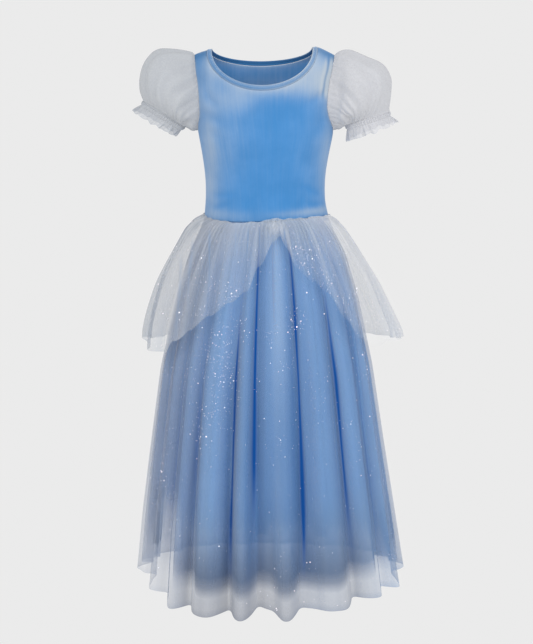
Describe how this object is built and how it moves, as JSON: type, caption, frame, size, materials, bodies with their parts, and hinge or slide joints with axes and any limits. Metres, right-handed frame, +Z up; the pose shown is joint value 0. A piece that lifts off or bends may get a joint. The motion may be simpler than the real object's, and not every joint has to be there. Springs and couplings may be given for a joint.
{
  "type": "costume dress",
  "caption": "Girl's costume dress in its worn shape: stretch velvet bodice, sheer puff sleeves with ruffled cuffs, and a long layered tulle skirt under an open-fronted overskirt.",
  "frame": {"origin": "midway between the shoulder seams, where the wearer's shoulders hold the dress", "axes": "+Z up, +X to the right of a viewer facing the front, front towards -Y"},
  "size_m": [0.4579, 0.3599, 0.9133],
  "materials": {
    "velvet": "light blue stretch velvet with a short pile",
    "velvet_band": "the same velvet turned under and stitched",
    "organza": "crisp sheer pale organza",
    "glitter_tulle_pale": "sheer pale tulle with fine glitter",
    "glitter_tulle": "sheer pale tulle with fine glitter",
    "blue_tulle": "sheer blue tulle",
    "blue_lining": "smooth blue woven lining"
  },
  "bodies": {
    "root": {"bodice_front": "velvet", "bodice_back": "velvet", "neck_band": "velvet_band", "sleeve_left": "organza", "sleeve_right": "organza", "cuff_left": "organza", "cuff_right": "organza", "overskirt": "glitter_tulle_pale", "skirt_outer": "glitter_tulle", "skirt_middle": "blue_tulle", "skirt_lining": "blue_lining"}
  },
  "joints": []
}
